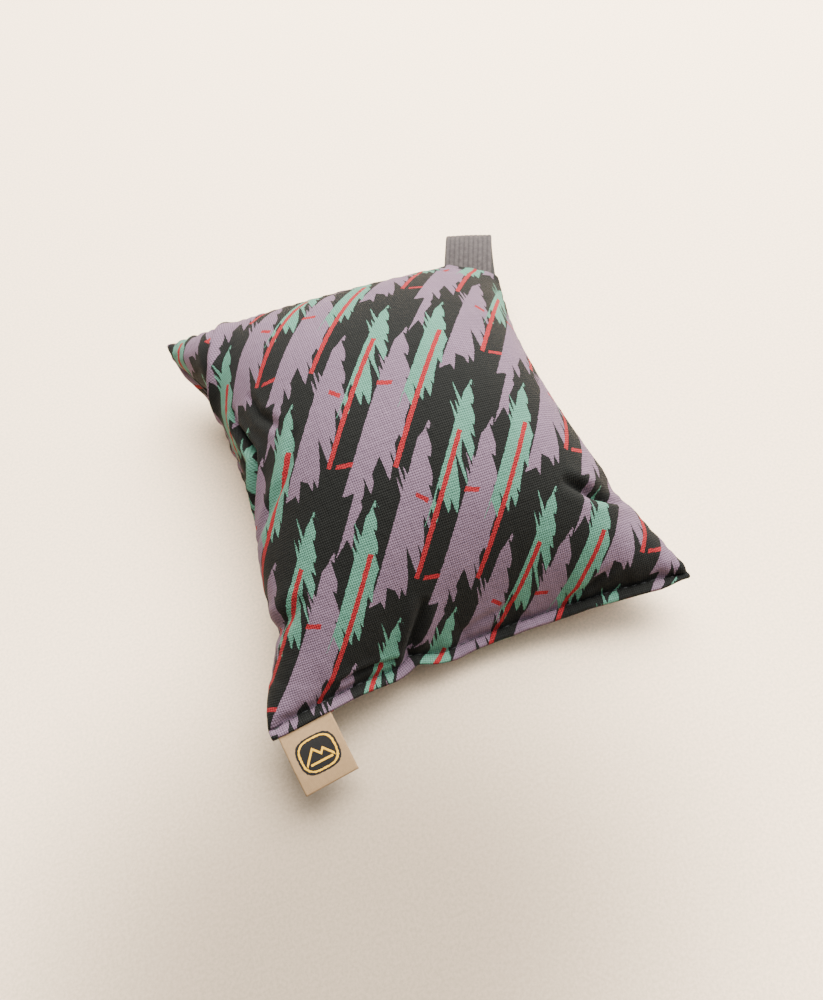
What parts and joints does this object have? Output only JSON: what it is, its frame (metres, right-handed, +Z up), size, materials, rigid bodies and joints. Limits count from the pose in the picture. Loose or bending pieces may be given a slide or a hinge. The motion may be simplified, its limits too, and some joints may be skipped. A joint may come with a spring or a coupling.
{
  "type": "filled drying sack",
  "caption": "Small pillow-shaped canvas sack, filled and sewn shut, with a webbing hang loop at one corner and a folded side label in the closing seam.",
  "frame": {"origin": "middle of the whole object's bounding box in plan, on the surface the sack lies on", "axes": "+Z up; +X along the closing seam from the label corner to the plain corner; +Y from the closing seam to the far seam, where the hang loop is"},
  "size_m": [0.1348, 0.1796, 0.057],
  "materials": {
    "printed_canvas": "plain-weave cotton canvas, near-black ground with a printed streak pattern in lavender, sea green and red",
    "pouch_cloth": "unbleached close-woven cotton",
    "filling": "loose dry granules",
    "webbing": "grey-brown ribbed webbing, matt",
    "label_ribbon": "woven beige ribbon, matt",
    "thread": "dark polyester sewing thread"
  },
  "bodies": {
    "sack": {"front_panel": "printed_canvas", "back_panel": "printed_canvas", "pouch_front": "pouch_cloth", "pouch_back": "pouch_cloth", "filling": "filling", "hang_loop_tails": "webbing", "side_label_tails": "label_ribbon", "closing_needle_thread": "thread", "closing_bobbin_thread": "thread", "turned_seam_thread": "thread", "loop_tack_thread": "thread"},
    "loop": {"hang_loop": "webbing"},
    "label": {"side_label": "label_ribbon"}
  },
  "joints": [
    {"name": "loop_flex", "type": "hinge", "parent": "sack", "child": "loop", "pos_m": [0.05149, 0.06827, 0.02], "axis": [0.8, -0.6, 0], "range_deg": [-30, 60], "stiffness_Nm_per_rad": 0.008},
    {"name": "label_flex", "type": "hinge", "parent": "sack", "child": "label", "pos_m": [-0.05781, -0.07332, 0.01442], "axis": [-0.9863, -0.1485, 0.0718], "range_deg": [-25, 70], "stiffness_Nm_per_rad": 0.001}
  ]
}
